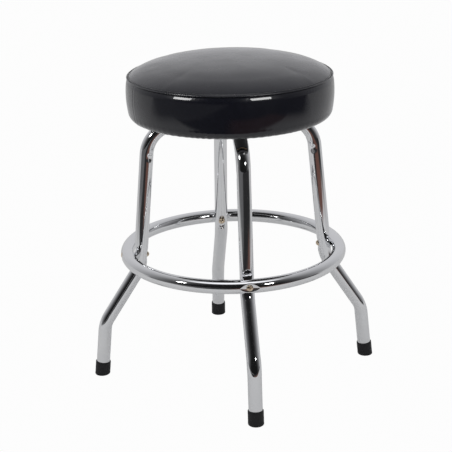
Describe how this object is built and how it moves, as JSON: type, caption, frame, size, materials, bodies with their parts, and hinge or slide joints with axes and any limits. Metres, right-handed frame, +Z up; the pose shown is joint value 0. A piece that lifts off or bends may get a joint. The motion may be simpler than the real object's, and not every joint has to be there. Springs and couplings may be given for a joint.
{
  "type": "adjustable swivel stool",
  "caption": "Round padded swivel stool with a screw-adjusted seat on bent chrome tube legs, with a footrest ring and rubber feet.",
  "frame": {"origin": "on the floor under the centre of the seat, at the centre of the feet", "axes": "+Z up along the seat's swivel axis; the legs stand on -Y (front), +X (right), +Y (rear) and -X (left)"},
  "size_m": [0.55, 0.55, 0.6135],
  "materials": {
    "chrome_tube": "polished",
    "black_rubber": "matte",
    "plated_fixing": "satin",
    "plain_steel": "satin",
    "painted_hub": "semi-gloss",
    "black_nylon": "matte",
    "hand_nut_alloy": "satin",
    "plywood": "raw",
    "foam": "matte",
    "black_vinyl": "satin",
    "black_cloth": "matte"
  },
  "bodies": {
    "base": {"leg_front": "chrome_tube", "leg_right": "chrome_tube", "leg_rear": "chrome_tube", "leg_left": "chrome_tube", "foot_tip_front": "black_rubber", "foot_tip_right": "black_rubber", "foot_tip_rear": "black_rubber", "foot_tip_left": "black_rubber", "footrest_ring": "chrome_tube", "ring_bolts": "plated_fixing", "ring_cap_nuts": "plated_fixing", "hub_tube": "painted_hub", "hub_plate_lower": "painted_hub", "hub_plate_upper": "painted_hub", "hub_bolts": "plain_steel", "hub_nuts": "plain_steel", "guide_bush": "black_nylon", "thrust_washer": "plain_steel"},
    "height_nut": {"height_nut": "hand_nut_alloy"},
    "spindle": {"spindle": "plain_steel", "swivel_lower_plate": "plain_steel", "retaining_ring": "plain_steel"},
    "ball_cage": {"ball_cage": "black_nylon", "bearing_balls": "plain_steel"},
    "lock_knob": {"lock_screw": "plain_steel", "lock_knob": "black_nylon"},
    "seat": {"swivel_upper_plate": "plain_steel", "swivel_screws": "plain_steel", "tee_nuts": "plain_steel", "seat_board": "plywood", "seat_hoop": "plywood", "seat_foam": "foam", "side_foam": "foam", "cover_top": "black_vinyl", "cover_band": "black_vinyl", "seat_piping": "black_vinyl", "cover_staples": "plain_steel", "dust_cloth": "black_cloth"}
  },
  "joints": [
    {"name": "seat_lift", "type": "slide", "parent": "base", "child": "spindle", "axis": [0, 0, 1], "range_m": [0, 0.028]},
    {"name": "seat_swivel", "type": "hinge", "parent": "spindle", "child": "seat", "pos_m": [0, 0, 0.52], "axis": [0, 0, 1], "continuous": true},
    {"name": "height_nut_turn", "type": "hinge", "parent": "base", "child": "height_nut", "pos_m": [0, 0, 0.511], "axis": [0, 0, 1], "range_deg": [0, 1010]},
    {"name": "ball_cage_roll", "type": "hinge", "parent": "spindle", "child": "ball_cage", "pos_m": [0, 0, 0.5215], "axis": [0, 0, 1], "continuous": true},
    {"name": "lock_turn", "type": "hinge", "parent": "base", "child": "lock_knob", "pos_m": [0, 0, 0.4935], "axis": [0.7071, 0.7071, 0], "range_deg": [0, 720]}
  ],
  "couplings": [
    {"joint": "height_nut_turn", "follows": "seat_lift", "rad_per_m": 628.32},
    {"joint": "ball_cage_roll", "follows": "seat_swivel", "ratio": 0.5}
  ]
}
